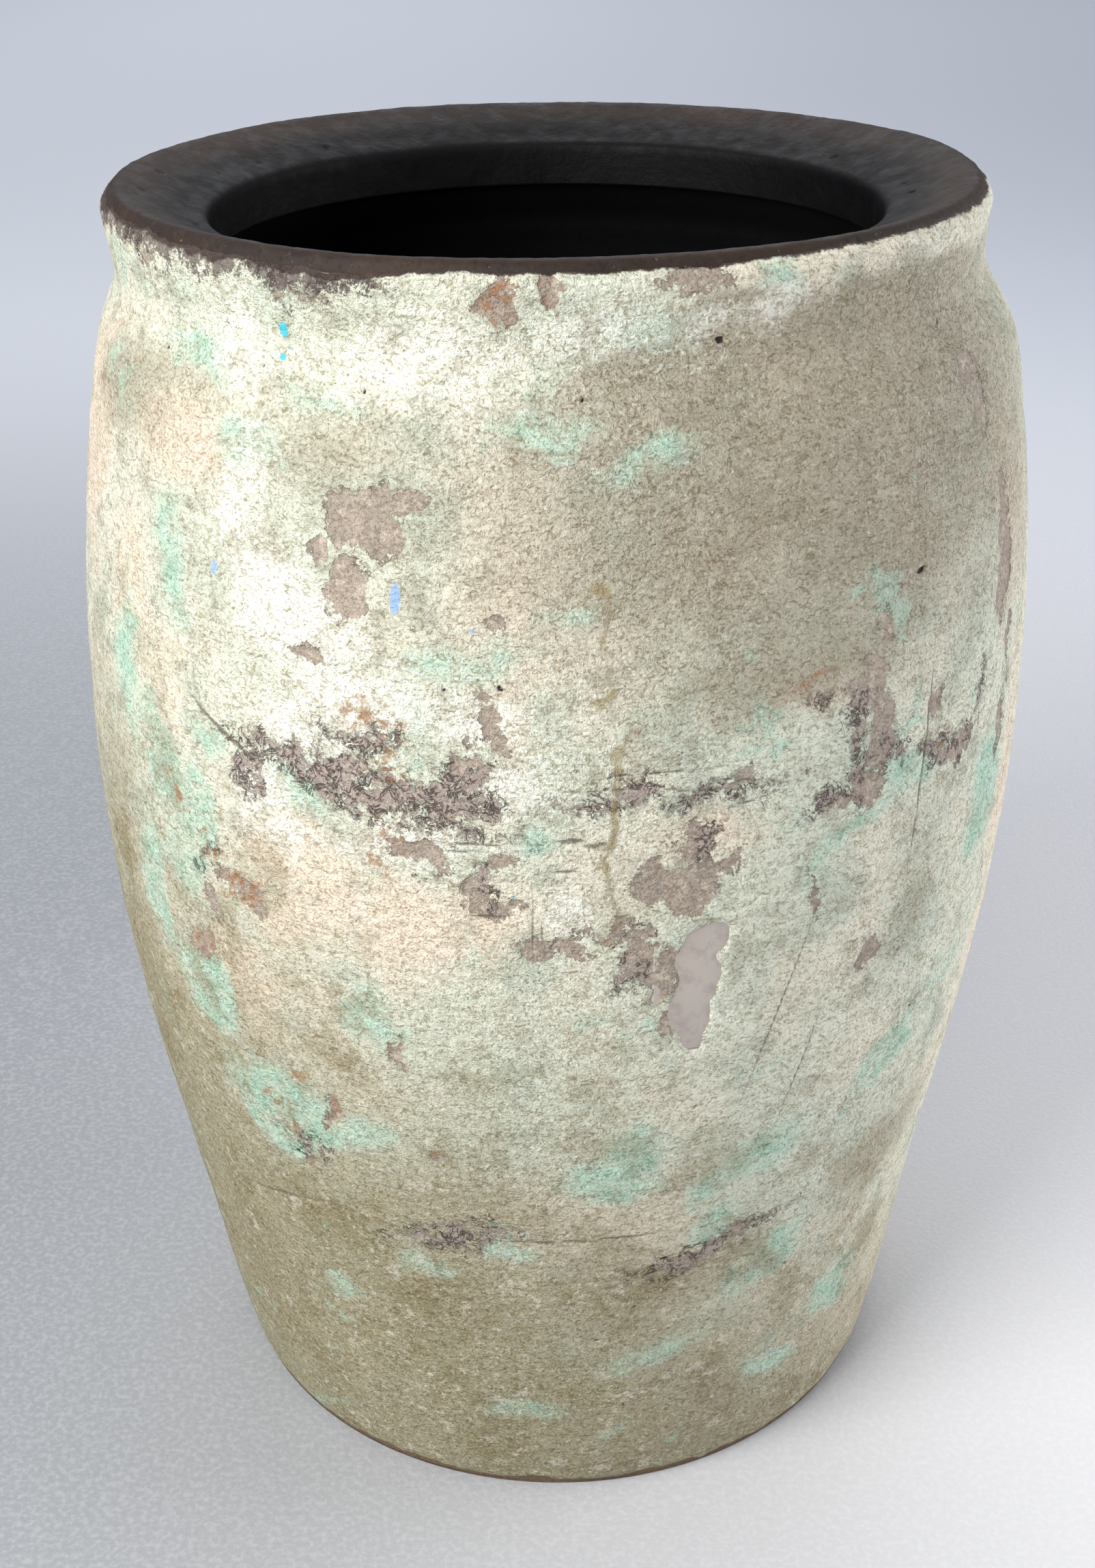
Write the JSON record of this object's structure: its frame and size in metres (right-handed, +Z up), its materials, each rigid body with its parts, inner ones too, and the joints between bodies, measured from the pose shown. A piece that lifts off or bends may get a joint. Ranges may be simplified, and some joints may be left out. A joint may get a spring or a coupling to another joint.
{
  "type": "clay drum body",
  "caption": "Barrel-shaped painted clay drum body, hollow with a closed floor, a wide open mouth and a thick dark bevelled lip.",
  "frame": {"origin": "centre of the flat foot, on the ground", "axes": "+Z up along the pot's axis; the front seen in the picture faces -Y"},
  "size_m": [0.2776, 0.2776, 0.38],
  "materials": {
    "fired_clay": "matt, coarse, grey-brown",
    "dark_lip_coat": "satin, worn, brown-black",
    "dark_inner_slip": "matt, nearly black",
    "turquoise_undercoat": "chalky matt paint, turquoise",
    "pale_topcoat": "chalky matt paint, pale green-grey to cream, worn",
    "grey_filler": "smooth matt plaster"
  },
  "bodies": {
    "root": {"floor_slab": "fired_clay", "foot_wall": "fired_clay", "belly_wall": "fired_clay", "shoulder_wall": "fired_clay", "neck_collar": "fired_clay", "lip_coil": "fired_clay", "lip_coat": "dark_lip_coat", "inner_slip": "dark_inner_slip", "undercoat": "turquoise_undercoat", "topcoat": "pale_topcoat", "filler_plug": "grey_filler"}
  },
  "joints": []
}
